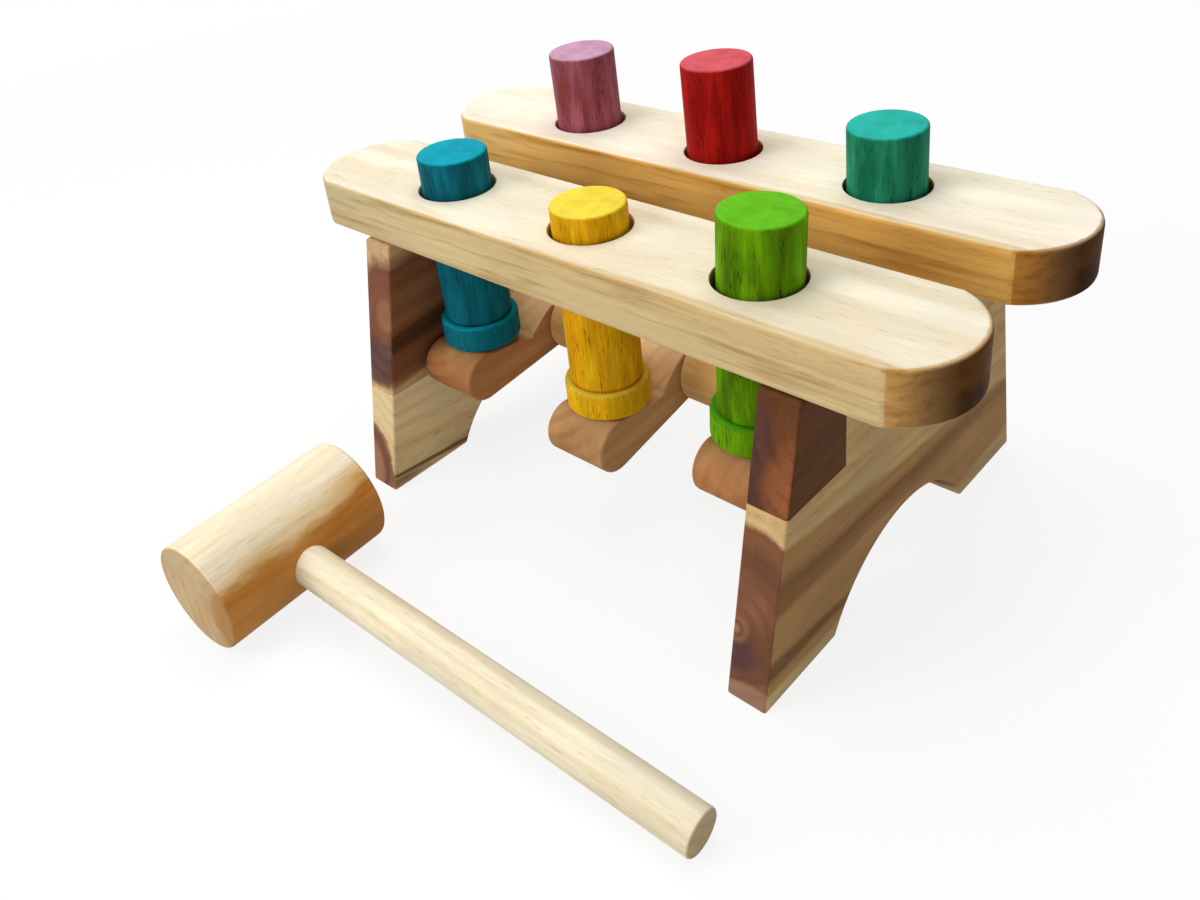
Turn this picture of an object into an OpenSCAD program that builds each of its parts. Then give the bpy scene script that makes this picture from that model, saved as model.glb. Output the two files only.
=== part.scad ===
// Peg pounding bench. Two rails on two end boards guide six pegs, which stand
// in pairs on three seesaw rockers. A loose mallet lies on the floor in front.

/* [Rails] */
// Length of each rail, end to end
rail_length = 250; // [225:1:280]
// Width of each rail, front to back
rail_width = 44; // [40:0.5:50]
// Thickness of each rail
rail_thickness = 17.5; // [15:0.5:22]
// Distance between the middle lines of the two rails
rail_spacing = 68.4; // [66:0.2:76]
// Height of the rails' upper faces above the floor
rail_top = 113; // [108:0.5:125]
// How far a rail's bowed end stands out past its straight sides
rail_end_bow = 15; // [8:0.5:18]

/* [Pegs] */
// Diameter of a peg's shaft
peg_diameter = 24.2; // [20:0.2:25]
// Length of a peg with its flange
peg_length = 72.2; // [66:0.2:80]
// Diameter of the flange at a peg's foot
flange_diameter = 28.2; // [27:0.2:30]
// Height of the flange
flange_height = 9.6; // [6:0.2:14]
// Size of the broken edge at a peg's head and flange
peg_edge = 0.8; // [0.4:0.1:1.5]
// Distance from one peg to the next along a rail
peg_pitch = 62; // [58:0.5:68]
// Clearance around a peg's shaft in its hole, on the radius
peg_clearance = 1.1; // [0.5:0.1:1.5]

/* [End boards] */
// Thickness of an end board
board_thickness = 13.3; // [11:0.1:18]
// Depth of an end board at the floor
board_foot_depth = 154; // [140:1:170]
// Depth of an end board under the rails
board_top_depth = 114.6; // [110:0.2:125]
// Gap between an outer peg's flange and the end board
board_clearance = 0.6; // [0.4:0.1:3]
// Width of the arch between the feet, at the floor
arch_width = 80; // [60:1:90]
// Height of the arch
arch_height = 24; // [15:0.5:30]

/* [Corner blocks] */
// Height of the left corner block's lower face
left_block_bottom = 39; // [30:0.5:70]
// Height of the right corner block's lower face
right_block_bottom = 62; // [30:0.5:70]
// Distance of the blocks' rear faces from the bench's middle plane
block_back = 35.6; // [32:0.2:40]

/* [Rockers] */
// Width of a rocker along the axle
rocker_width = 24.6; // [20:0.2:26]
// Height of the axle above the floor
pivot_height = 47.5; // [46:0.5:52]
// Radius of a rocker's round nose, which carries the peg
nose_radius = 9; // [7:0.5:10]
// How far the nose's centre lies outside the peg's middle line
nose_offset = 10.8; // [8:0.2:12]
// Height of the nose's centre above the axle
nose_lift = 4.2; // [3:0.2:6]
// How far the notch's lowest line lies outside the flange's inner edge
notch_step = 0.4; // [0:0.1:0.6]
// Height of the notch's lowest line above the axle
notch_lift = 5; // [4.8:0.1:6]
// Height of the hub's crown above the axle
hub_rise = 12; // [10:0.5:13]
// Depth of the hub below the axle
hub_drop = 8.4; // [7:0.2:11]
// Tilt of the left rocker at rest, front end down
left_tilt = 9.5; // [-15:0.5:15]
// Tilt of the middle rocker at rest, front end down
middle_tilt = 15.3; // [-15.5:0.1:15.5]
// Tilt of the right rocker at rest, front end down
right_tilt = 0; // [-15:0.5:15]
// Gap between a nose and the flange above it
seat_gap = 0.3; // [0.2:0.05:0.5]

/* [Axle and spacers] */
// Diameter of the axle
axle_diameter = 8; // [6:0.5:9]
// Depth of the axle's socket in each end board
axle_socket = 8; // [5:0.5:10]
// Clearance around the axle in the rockers and spacers, on the radius
axle_clearance = 0.08; // [0.02:0.01:0.1]
// Diameter of a spacer, cut from the pegs' stock
spacer_diameter = 24.6; // [18:0.2:26]
// Gap between a spacer's end and the rocker beside it
spacer_gap = 0.3; // [0.2:0.05:0.6]

/* [Dowels] */
// Diameter of the dowels that hold the rails on the end boards
dowel_diameter = 6; // [5:0.5:8]
// Length of a dowel
dowel_length = 24; // [16:1:28]
// Distance between the two dowels of one joint
dowel_spread = 22; // [18:0.5:26]
// Glue line around a dowel, an axle end and the mallet's handle
glue_gap = 0.05; // [0.02:0.01:0.1]

/* [Mallet] */
// Diameter of the mallet's head
head_diameter = 38.4; // [32:0.2:45]
// Length of the mallet's head
head_length = 63.5; // [50:0.5:80]
// Diameter of the mallet's handle
handle_diameter = 13.8; // [11:0.2:16]
// Distance from the head's middle line to the handle's end
handle_reach = 170.6; // [140:0.2:200]
// How far the handle runs into the head past its middle line
handle_tail = 11; // [6:0.5:14]
// Size of the broken edge at the ends of the head and the handle
mallet_edge = 0.8; // [0.4:0.1:1.5]
// Place of the head along the rails, from the bench's middle
mallet_x = -68.4; // [-85:0.2:-40]
// Distance of the head's middle in front of the bench's middle
mallet_ahead = 131; // [120:0.5:160]
// Turn of the handle away from the rails' direction
mallet_yaw = 3.6; // [0:0.2:12]

/* [Hidden] */
$fn = 96;

// Extra length that carries a cut past the face it starts from
overrun = 1;

// Rails
rail_y = rail_spacing / 2;
rail_underside = rail_top - rail_thickness;
rail_end_radius = (rail_width * rail_width / 4 + rail_end_bow * rail_end_bow) / (2 * rail_end_bow);
peg_hole_radius = peg_diameter / 2 + peg_clearance;

// End boards
board_inner = peg_pitch + flange_diameter / 2 + board_clearance;
board_middle = board_inner + board_thickness / 2;
arch_radius = (arch_width * arch_width / 4 + arch_height * arch_height) / (2 * arch_height);

// Rocker outline, seen along the axle: the front nose is on the side of the negative numbers
nose_reach = rail_y + nose_offset;
notch_reach = rail_y - flange_diameter / 2 + notch_step;
nose_centre = [-nose_reach, nose_lift];
keel_point = [0, -hub_drop];
notch_point = [-notch_reach, notch_lift];
hub_radius = (notch_reach * notch_reach + (hub_rise - notch_lift) * (hub_rise - notch_lift))
    / (2 * (hub_rise - notch_lift));

// Point where the line from a corner runs into the nose's circle, on the chosen side.
// The line bites a little into the circle, so that the arm and the nose are one piece.
nose_bite = 0.02;
bite_radius = nose_radius - nose_bite;
function touch_angle(corner, side) =
    let (run = nose_centre - corner)
    atan2(run[1], run[0]) + side * asin(bite_radius / norm(run));
function touch_length(corner) =
    let (run = nose_centre - corner)
    sqrt(run * run - bite_radius * bite_radius);
function touch_point(corner, side) =
    corner + touch_length(corner) * [cos(touch_angle(corner, side)), sin(touch_angle(corner, side))];
function mirrored(point) = [-point[0], point[1]];

// The seat's straight line runs on a little under the hub's crown
seat_tuck = 3;
function seat_end() =
    let (angle = touch_angle(notch_point, -1))
    notch_point - seat_tuck * [cos(angle), sin(angle)];

// Height of a peg's foot above the nose that carries it; side is -1 in front and 1 behind
function foot_height(tilt, side) =
    pivot_height + nose_lift * cos(tilt) + side * nose_reach * sin(tilt) + nose_radius + seat_gap;

// Mallet: the handle dips until the rim of its end meets the floor
head_radius = head_diameter / 2;
handle_radius = handle_diameter / 2;
mallet_dip = asin(head_radius / norm([handle_reach, handle_radius])) - atan2(handle_radius, handle_reach);
mallet_half_depth = head_length / 2 * cos(mallet_yaw) + head_radius * sin(mallet_yaw);

// The frame's origin is on the floor under the middle of the whole set
bench_y = (mallet_ahead + mallet_half_depth - board_foot_depth / 2) / 2;

// Rails

module rail_outline() {
    square([rail_length - 2 * rail_end_bow, rail_width], center = true);
    for (side = [-1, 1])
        intersection() {
            translate([side * (rail_length / 2 - rail_end_radius), 0])
                circle(rail_end_radius);
            translate([side * (rail_length - rail_end_bow) / 2, 0])
                square([rail_end_bow, rail_width], center = true);
        }
}

module rail(side) {
    translate([0, bench_y + side * rail_y, rail_underside])
        difference() {
            linear_extrude(rail_thickness)
                rail_outline();
            for (column = [-1, 0, 1])
                translate([column * peg_pitch, 0, -overrun])
                    cylinder(h = rail_thickness + 2 * overrun, r = peg_hole_radius);
            for (end = [-1, 1], row = [-1, 1])
                translate([end * board_middle, row * dowel_spread / 2, -overrun])
                    cylinder(h = overrun + dowel_length / 2 + glue_gap, r = dowel_diameter / 2 + glue_gap);
        }
}

module front_rail() {
    color("#EADCB8")
        rail(-1);
}

module rear_rail() {
    color("#E6D4AC")
        rail(1);
}

// End boards and their corner blocks

module board_outline() {
    polygon([
        [-board_foot_depth / 2, 0],
        [board_foot_depth / 2, 0],
        [board_top_depth / 2, rail_underside],
        [-board_top_depth / 2, rail_underside],
    ]);
}

// The upper front corner of the board, from the block's lower face up
module corner_region(block_bottom) {
    translate([-board_foot_depth, block_bottom])
        square([board_foot_depth - block_back, rail_underside]);
}

module dowel_sockets(side, end) {
    for (row = [-1, 1])
        translate([end * board_middle, bench_y + side * rail_y + row * dowel_spread / 2,
                rail_underside - dowel_length / 2 - glue_gap])
            cylinder(h = dowel_length / 2 + glue_gap + overrun, r = dowel_diameter / 2 + glue_gap);
}

module stand_board(end) {
    translate([end * board_middle - board_thickness / 2, bench_y, 0])
        rotate([90, 0, 90])
            linear_extrude(board_thickness)
                children();
}

module end_board(end, block_bottom) {
    difference() {
        stand_board(end)
            difference() {
                board_outline();
                translate([0, arch_height - arch_radius])
                    circle(arch_radius);
                corner_region(block_bottom);
            }
        for (side = [-1, 1])
            dowel_sockets(side, end);
        translate([end * (board_inner + axle_socket / 2 - overrun / 2), bench_y, pivot_height])
            rotate([0, 90, 0])
                cylinder(h = axle_socket + overrun, r = axle_diameter / 2 + glue_gap, center = true);
    }
}

module corner_block(end, block_bottom) {
    difference() {
        stand_board(end)
            intersection() {
                board_outline();
                corner_region(block_bottom);
            }
        dowel_sockets(-1, end);
    }
}

module left_end_board() {
    color("#C9A266")
        end_board(-1, left_block_bottom);
}

module right_end_board() {
    color("#B9935C")
        end_board(1, right_block_bottom);
}

module left_corner_block() {
    color("#7A4A38")
        corner_block(-1, left_block_bottom);
}

module right_corner_block() {
    color("#6E4232")
        corner_block(1, right_block_bottom);
}

module rail_dowels() {
    color("#DCC79A")
        for (side = [-1, 1], end = [-1, 1], row = [-1, 1])
            translate([end * board_middle, bench_y + side * rail_y + row * dowel_spread / 2, rail_underside])
                cylinder(h = dowel_length, r = dowel_diameter / 2, center = true);
}

// Axle and spacers

module along_axle(x) {
    translate([x, bench_y, pivot_height])
        rotate([0, 90, 0])
            children();
}

module axle() {
    color("#C8A878")
        along_axle(0)
            cylinder(h = 2 * (board_inner + axle_socket - glue_gap), r = axle_diameter / 2, center = true);
}

module spacer(side) {
    spacer_length = peg_pitch - rocker_width - 2 * spacer_gap;
    along_axle(side * peg_pitch / 2)
        difference() {
            cylinder(h = spacer_length, r = spacer_diameter / 2, center = true);
            cylinder(h = spacer_length + 2 * overrun, r = axle_diameter / 2 + axle_clearance, center = true);
        }
}

module left_spacer() {
    color("#C49A63")
        spacer(-1);
}

module right_spacer() {
    color("#C49A63")
        spacer(1);
}

// Rockers

module rocker_outline() {
    front_arm = [
        seat_end(),
        touch_point(notch_point, -1),
        nose_centre,
        touch_point(keel_point, 1),
    ];
    rear_arm = [for (step = [1 : len(front_arm)]) mirrored(front_arm[len(front_arm) - step])];
    polygon(concat([keel_point], rear_arm, front_arm));
    for (centre = [nose_centre, mirrored(nose_centre)])
        translate(centre)
            circle(nose_radius);
    intersection() {
        translate([0, hub_rise - hub_radius])
            circle(hub_radius);
        translate([-nose_reach, 0])
            square([2 * nose_reach, hub_rise + overrun]);
    }
}

module rocker(column, tilt) {
    translate([column * peg_pitch, bench_y, pivot_height])
        rotate([tilt, 0, 0])
            rotate([90, 0, 90])
                difference() {
                    linear_extrude(rocker_width, center = true)
                        rocker_outline();
                    cylinder(h = rocker_width + 2 * overrun, r = axle_diameter / 2 + axle_clearance, center = true);
                }
}

module left_rocker() {
    color("#B07B4E")
        rocker(-1, left_tilt);
}

module middle_rocker() {
    color("#B07B4E")
        rocker(0, middle_tilt);
}

module right_rocker() {
    color("#B07B4E")
        rocker(1, right_tilt);
}

// Pegs

module peg(column, side, tilt) {
    translate([column * peg_pitch, bench_y + side * rail_y, foot_height(tilt, side)])
        rotate_extrude()
            polygon([
                [0, 0],
                [flange_diameter / 2 - peg_edge, 0],
                [flange_diameter / 2, peg_edge],
                [flange_diameter / 2, flange_height - peg_edge],
                [flange_diameter / 2 - peg_edge, flange_height],
                [peg_diameter / 2, flange_height],
                [peg_diameter / 2, peg_length - peg_edge],
                [peg_diameter / 2 - peg_edge, peg_length],
                [0, peg_length],
            ]);
}

module blue_peg() {
    color("#1A8FA8")
        peg(-1, -1, left_tilt);
}

module yellow_peg() {
    color("#EBC82C")
        peg(0, -1, middle_tilt);
}

module green_peg() {
    color("#58B820")
        peg(1, -1, right_tilt);
}

module purple_peg() {
    color("#A9759A")
        peg(-1, 1, left_tilt);
}

module red_peg() {
    color("#C8202C")
        peg(0, 1, middle_tilt);
}

module teal_peg() {
    color("#1AA398")
        peg(1, 1, right_tilt);
}

// Mallet: its head lies along the local Y axis and its handle along the local X axis

module lay_mallet() {
    translate([mallet_x, bench_y - mallet_ahead, head_radius])
        rotate([0, mallet_dip, mallet_yaw])
            children();
}

module turned_rod(length, radius) {
    rotate_extrude()
        polygon([
            [0, 0],
            [radius - mallet_edge, 0],
            [radius, mallet_edge],
            [radius, length - mallet_edge],
            [radius - mallet_edge, length],
            [0, length],
        ]);
}

module mallet_head() {
    color("#DDBE88")
        lay_mallet()
            difference() {
                rotate([90, 0, 0])
                    translate([0, 0, -head_length / 2])
                        turned_rod(head_length, head_radius);
                translate([-handle_tail - glue_gap, 0, 0])
                    rotate([0, 90, 0])
                        cylinder(h = head_diameter, r = handle_radius + glue_gap);
            }
}

module mallet_handle() {
    color("#EEDFB8")
        lay_mallet()
            translate([-handle_tail, 0, 0])
                rotate([0, 90, 0])
                    turned_rod(handle_tail + handle_reach, handle_radius);
}

front_rail();
rear_rail();
left_end_board();
right_end_board();
left_corner_block();
right_corner_block();
rail_dowels();
axle();
left_spacer();
right_spacer();
left_rocker();
middle_rocker();
right_rocker();
blue_peg();
yellow_peg();
green_peg();
purple_peg();
red_peg();
teal_peg();
mallet_head();
mallet_handle();
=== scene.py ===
import math

import bmesh
import bpy
from mathutils import Euler, Matrix, Vector


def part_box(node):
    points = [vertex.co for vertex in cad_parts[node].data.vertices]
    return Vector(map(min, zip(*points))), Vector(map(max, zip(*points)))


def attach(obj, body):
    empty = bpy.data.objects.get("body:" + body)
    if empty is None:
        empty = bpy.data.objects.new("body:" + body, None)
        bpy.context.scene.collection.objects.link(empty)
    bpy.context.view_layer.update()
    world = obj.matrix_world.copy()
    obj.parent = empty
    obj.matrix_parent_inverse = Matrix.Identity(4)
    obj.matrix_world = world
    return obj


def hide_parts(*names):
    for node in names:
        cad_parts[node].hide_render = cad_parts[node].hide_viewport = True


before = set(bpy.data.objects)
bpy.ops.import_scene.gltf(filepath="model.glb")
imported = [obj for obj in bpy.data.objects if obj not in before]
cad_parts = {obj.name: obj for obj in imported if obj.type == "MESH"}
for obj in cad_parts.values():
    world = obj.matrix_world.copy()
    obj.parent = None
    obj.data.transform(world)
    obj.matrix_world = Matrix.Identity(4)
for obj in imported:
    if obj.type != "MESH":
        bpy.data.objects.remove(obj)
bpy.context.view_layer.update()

# End boards: two splayed boards that stand on four feet, with an arch sawn between the feet.
# Each is a wide rubberwood plank whose grain runs from front to rear, so the slanted front edge
# shows end grain. Planed, sawn, sanded round at the edges and oiled.
MM = 0.001
QUARTER = math.radians(90)
ACROSS = Vector((1, 0, 0))
UP = Vector((0, 0, 1))
WELD = 0.002 * MM
NEAR = 0.1 * MM
PARALLEL = 0.999
CORNER_ANGLE = math.radians(28.6)
CREASE_ANGLE = math.radians(38)
EDGE_ROUND = 0.9 * MM
EDGE_STEPS = 3
BOARD_TOP_DEPTH = 114.6 * MM
ARCH_WIDTH = 80.0 * MM
ARCH_HEIGHT = 24.0 * MM
ARCH_STEPS = 40
DOWEL_RADIUS = 3.0 * MM
DOWEL_SPREAD = 22.0 * MM
GLUE_LINE = 0.05 * MM
DRILL_STEPS = 32
SWAY_EVERY_MM = (90.0, 30.0)
SWAY_MM = 7.0
SOAK_HALF_MM = 90.0
FEWEST_PORES = 0.15
PORE_SINK = 0.6
RELIEF = 0.15 * MM
RELIEF_STRENGTH = 0.25
ROUGH_SPREAD = (-0.07, 0.09)
WOOD_IOR = 1.5

# The sockets of a colour mix, and the settings that such mixes and soft ramps share.
PART, UNDER, OVER = 0, 6, 7
COLOUR = dict(out=2, data_type="RGBA")
TINT = dict(COLOUR, blend_type="MULTIPLY")
SOFT = dict(interpolation_type="SMOOTHSTEP")


# Turns an sRGB hex colour into linear light.
def linear(code):
    channels = [int(code[i:i + 2], 16) / 255 for i in (1, 3, 5)]
    return [c / 12.92 if c <= 0.04045 else ((c + 0.055) / 1.055) ** 2.4 for c in channels] + [1.0]


# Adds a shader node with its links, values and settings, and gives one of its outputs.
def add(tree, kind, inputs, out=0, **settings):
    node = tree.nodes.new("ShaderNode" + kind)
    for key, value in settings.items():
        setattr(node, key, value)
    for key, value in inputs.items():
        if isinstance(value, bpy.types.NodeSocket):
            tree.links.new(value, node.inputs[key])
        else:
            node.inputs[key].default_value = value
    return node.outputs[out]


# The scale of a pattern, from its real length along the grain and its breadth across it.
def stretch(length_mm, breadth_mm):
    return (1 / length_mm, 1 / breadth_mm, 1 / breadth_mm)


# A body of differently coloured wood inside a stave, such as heartwood: an oval across the grain
# that runs along it, with a ragged edge. Its end grain, where cut is one, may be darker, because it
# soaks up more oil.
def heart_oval(tree, grain, cut, tone, side, middle, reach, end=None, edge=0.12, ragged=0.35,
               taper=0.0, wave_mm=(45, 6)):
    inward = add(tree, "VectorMath", {0: grain, 1: (0, *middle)}, operation="SUBTRACT")
    oval = (0, 1 / reach[0], 1 / reach[1])
    unit = add(tree, "VectorMath", {0: inward, 1: oval}, operation="MULTIPLY")
    far = add(tree, "VectorMath", {0: unit}, out="Value", operation="LENGTH")
    wander_at = add(tree, "VectorMath", {0: grain, 1: stretch(*wave_mm)}, operation="MULTIPLY")
    wander = add(tree, "TexNoise", {"Vector": wander_at, "Scale": 1.0, "Detail": 5.0, "Roughness": 0.6})
    ragged_far = add(tree, "Math", {0: wander, 1: ragged, 2: far}, operation="MULTIPLY_ADD")
    station = add(tree, "SeparateXYZ", {0: grain})
    thinned = add(tree, "Math", {0: station, 1: taper, 2: ragged_far}, operation="MULTIPLY_ADD")
    rim = 1 + ragged / 2
    inside = add(tree, "MapRange", {"Value": thinned, "From Min": rim + edge, "From Max": rim - edge},
                 **SOFT)
    shade = add(tree, "Mix", {PART: cut, UNDER: linear(side), OVER: linear(end or side)}, **COLOUR)
    return add(tree, "Mix", {PART: inside, UNDER: tone, OVER: shade}, **COLOUR)


# Darker lines of latewood round the pith. They fade out in the darker clouds.
def growth_rings(tree, grain, cloud, tone, late, pith, ring_mm, ring_share):
    from_pith = add(tree, "VectorMath", {0: grain, 1: (0, *pith)}, operation="SUBTRACT")
    across = add(tree, "VectorMath", {0: from_pith, 1: (0, 1, 1)}, operation="MULTIPLY")
    radius = add(tree, "VectorMath", {0: across}, out="Value", operation="LENGTH")
    year = add(tree, "Math", {0: radius, 1: 2 * math.pi / ring_mm}, operation="MULTIPLY")
    season = add(tree, "Math", {0: year}, operation="SINE")
    latewood = add(tree, "MapRange", {"Value": season, "From Min": -0.2, "From Max": 1.0}, **SOFT)
    patchy = add(tree, "MapRange", {"Value": cloud, "From Min": 0.35, "From Max": 0.6,
                                    "To Max": 2 * ring_share})
    ring_part = add(tree, "Math", {0: latewood, 1: patchy}, operation="MULTIPLY")
    return add(tree, "Mix", {PART: ring_part, UNDER: tone, OVER: linear(late)}, **TINT)


# Solid wood, worked out through its whole depth as in a log, so that side grain and end grain
# agree where they meet at an edge. The wood's own X axis runs along the grain, in millimetres
# from its centre. The eye gets long soft tone bands, clouds, faint growth rings round a pith, fine
# fibre, and the short open pores of rubberwood. The pores are drawn at twice their real width.
def solid_wood(name, centre, turn, light, mid, late, pore, pith=(22.0, 14.0), ring_mm=5.0,
               ring_share=0.12, band_mm=(120.0, 9.0), cloud_mm=(40.0, 14.0), cloud_share=0.1,
               pore_mm=(6.0, 0.5), pore_share=0.4, fibre_mm=(14.0, 0.7), fibre_share=0.07,
               end="#D8B490", end_share=(0.4, 0.4), end_blend="MULTIPLY", end_range=(0.3, 0.9),
               roughness=0.58, gloss=0.06, hearts=(), figure=None):
    wood = bpy.data.materials.new(name)
    wood.use_nodes = True
    tree = wood.node_tree
    place = add(tree, "TexCoord", {}, out="Object")
    normal = place.node.outputs["Normal"]
    own = add(tree, "Mapping", {"Vector": place, "Location": centre, "Rotation": turn,
                                "Scale": (MM, MM, MM)}, vector_type="TEXTURE")
    along = Euler(turn).to_matrix() @ Vector((1, 0, 0))
    facing = add(tree, "VectorMath", {0: normal, 1: along}, out="Value", operation="DOT_PRODUCT")
    across_grain = add(tree, "Math", {0: facing}, operation="ABSOLUTE")
    cut = add(tree, "MapRange", {"Value": across_grain, "From Min": end_range[0],
                                 "From Max": end_range[1]}, **SOFT)

    slow = add(tree, "VectorMath", {0: own, 1: stretch(*SWAY_EVERY_MM)}, operation="MULTIPLY")
    drift = add(tree, "TexNoise", {"Vector": slow, "Scale": 1.0, "Detail": 3.0}, out="Color")
    sway = add(tree, "VectorMath", {0: drift, 1: (0.5, 0.5, 0.5)}, operation="SUBTRACT")
    grain = add(tree, "VectorMath", {0: sway, 1: (0, SWAY_MM, SWAY_MM), 2: own},
                operation="MULTIPLY_ADD")
    layers = {}
    for layer, spot, size_mm, detail in (("band", grain, band_mm, 3.0), ("cloud", own, cloud_mm, 4.0),
                                         ("pores", grain, pore_mm, 0.0),
                                         ("fibre", grain, fibre_mm, 2.0)):
        drawn = add(tree, "VectorMath", {0: spot, 1: stretch(*size_mm)}, operation="MULTIPLY")
        layers[layer] = add(tree, "TexNoise", {"Vector": drawn, "Scale": 1.0, "Detail": detail})

    band_part = add(tree, "MapRange", {"Value": layers["band"], "From Min": 0.32, "From Max": 0.68})
    tone = add(tree, "Mix", {PART: band_part, UNDER: linear(light), OVER: linear(mid)}, **COLOUR)
    for heart in hearts:
        tone = heart_oval(tree, grain, cut, tone, **heart)
    if figure:
        tone = figure(tree, grain, normal, tone)
    cloud_tone = add(tree, "MapRange", {"Value": layers["cloud"], "From Min": 0.3, "From Max": 0.7,
                                        "To Min": 1 - cloud_share, "To Max": 1 + cloud_share / 2})
    clouded = add(tree, "Mix", {PART: 1.0, UNDER: tone, OVER: cloud_tone}, **TINT)
    ringed = growth_rings(tree, grain, layers["cloud"], clouded, late, pith, ring_mm, ring_share)

    open_pores = add(tree, "MapRange", {"Value": layers["pores"], "From Min": 0.66, "From Max": 0.78})
    crowd = add(tree, "MapRange", {"Value": layers["band"], "From Min": 0.38, "From Max": 0.6,
                                   "To Min": FEWEST_PORES * pore_share, "To Max": pore_share})
    pore_part = add(tree, "Math", {0: open_pores, 1: crowd}, operation="MULTIPLY")
    pored = add(tree, "Mix", {PART: pore_part, UNDER: ringed, OVER: linear(pore)}, **TINT)
    fibre_tone = add(tree, "MapRange", {"Value": layers["fibre"], "From Min": 0.3, "From Max": 0.7,
                                        "To Min": 1 - fibre_share, "To Max": 1 + fibre_share / 2})
    fibred = add(tree, "Mix", {PART: 1.0, UNDER: pored, OVER: fibre_tone}, **TINT)

    station = add(tree, "SeparateXYZ", {0: own})
    soak = add(tree, "MapRange", {"Value": station, "From Min": -SOAK_HALF_MM, "From Max": SOAK_HALF_MM,
                                  "To Min": end_share[0], "To Max": end_share[1]})
    end_part = add(tree, "Math", {0: cut, 1: soak}, operation="MULTIPLY")
    blotched = add(tree, "Math", {0: end_part, 1: cloud_tone}, operation="MULTIPLY")
    oiled = add(tree, "Mix", {PART: blotched, UNDER: fibred, OVER: linear(end)}, blend_type=end_blend,
                **COLOUR)

    shader = tree.nodes["Principled BSDF"]
    smoothest, roughest = [roughness + spread for spread in ROUGH_SPREAD]
    rough = add(tree, "MapRange", {"Value": layers["fibre"], "From Min": 0.25, "From Max": 0.75,
                                   "To Min": smoothest, "To Max": roughest})
    relief = add(tree, "Math", {0: open_pores, 1: -PORE_SINK, 2: layers["fibre"]},
                 operation="MULTIPLY_ADD")
    bump = add(tree, "Bump", {"Height": relief, "Strength": RELIEF_STRENGTH, "Distance": RELIEF})
    for socket, source in (("Base Color", oiled), ("Roughness", rough), ("Normal", bump)):
        tree.links.new(source, shader.inputs[socket])
    shader.inputs["IOR"].default_value = WOOD_IOR
    shader.inputs["Specular IOR Level"].default_value = gloss
    return wood


# Sands the edges of a piece round, apart from those whose both ends the last argument picks out.
def round_edges(bm, size, keep_sharp=lambda spot: False):
    corners = [e for e in bm.edges if e.is_manifold and e.calc_face_angle() > CORNER_ANGLE]
    edges = [e for e in corners if not all(keep_sharp(v.co) for v in e.verts)]
    bmesh.ops.bevel(bm, geom=edges, offset=size, offset_type="OFFSET", affect="EDGES",
                    segments=EDGE_STEPS, profile=0.5, material=-1, clamp_overlap=True)


# Welds and smooths a finished mesh, and puts it on its body in the place of its node.
def hand_over(bm, name, material, body, node):
    bmesh.ops.remove_doubles(bm, verts=bm.verts, dist=WELD)
    bmesh.ops.recalc_face_normals(bm, faces=bm.faces)
    for face in bm.faces:
        face.smooth = True
    mesh = bpy.data.meshes.new(name)
    bm.to_mesh(mesh)
    bm.free()
    mesh.set_sharp_from_angle(angle=CREASE_ANGLE)
    mesh.materials.append(material)
    piece = bpy.data.objects.new(name, mesh)
    bpy.context.scene.collection.objects.link(piece)
    piece.modifiers.new("even_shading", "WEIGHTED_NORMAL").keep_sharp = True
    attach(piece, body)
    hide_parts(node)


# Turns one vertex round an axis and gives the chain of vertices that this leaves.
def swing(bm, start, centre, angle, steps, axis=ACROSS):
    bmesh.ops.spin(bm, geom=[start], cent=centre, axis=axis, angle=angle, steps=steps,
                   use_duplicate=False)
    chain = [start]
    while True:
        tip = chain[-1]
        onward = [e.other_vert(tip) for e in tip.link_edges if e.other_vert(tip) not in chain]
        if not onward:
            return chain
        chain.append(onward[0])


# Closes an outline in a YZ plane and saws it out of a plank of the given thickness along X.
def saw_out(bm, outline, thick):
    face = bm.faces.new(outline)
    grown = bmesh.ops.extrude_face_region(bm, geom=[face])["geom"]
    far_side = [g for g in grown if isinstance(g, bmesh.types.BMVert)]
    bmesh.ops.translate(bm, verts=far_side, vec=thick * ACROSS)


# Draws a circle square to the given way and gives its edges.
def round_ring(bm, centre, way, radius, steps):
    place = Matrix.Translation(centre) @ way.to_track_quat("Z", "Y").to_matrix().to_4x4()
    verts = bmesh.ops.create_circle(bm, segments=steps, radius=radius, matrix=place)["verts"]
    return list(dict.fromkeys(edge for vert in verts for edge in vert.link_edges))


# The wall of a drilled hole. Gives its two rings of edges, at the mouth and at the foot.
def bore(bm, mouth, way, radius, deep):
    rings = [round_ring(bm, mouth + depth * way, way, radius, DRILL_STEPS) for depth in (0, deep)]
    bmesh.ops.bridge_loops(bm, edges=rings[0] + rings[1])
    return rings


# A hole with a flat foot, for an axle end or a dowel. Gives the ring of edges at its mouth.
def blind_bore(bm, mouth, way, radius, deep):
    rim, foot = bore(bm, mouth, way, radius, deep)
    bmesh.ops.edgeloop_fill(bm, edges=foot)
    return rim


# Opens the flat face that a hole's mouth lies on, and closes it again round the holes.
def open_flat(bm, mouth, way, rims):
    bm.normal_update()
    square_on = [f for f in bm.faces if abs(f.normal.dot(way)) > PARALLEL]
    level = [f for f in square_on if abs((f.verts[0].co - mouth).dot(way)) < WELD]
    flat = max(level, key=lambda f: f.calc_area())
    border = list(flat.edges)
    bmesh.ops.delete(bm, geom=[flat], context="FACES_ONLY")
    bmesh.ops.triangle_fill(bm, edges=sum(rims, border), use_beauty=True, use_dissolve=False, normal=way)


# Drills the dowels' sockets into the top of a board or block, in the rows given along Y.
def drill_top(bm, middle_x, top, rows):
    mouths = [Vector((middle_x, row, top)) for row in rows]
    rims = [blind_bore(bm, mouth, -UP, DOWEL_RADIUS + GLUE_LINE, dowel_sink) for mouth in mouths]
    open_flat(bm, mouths[0], UP, rims)


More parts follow.
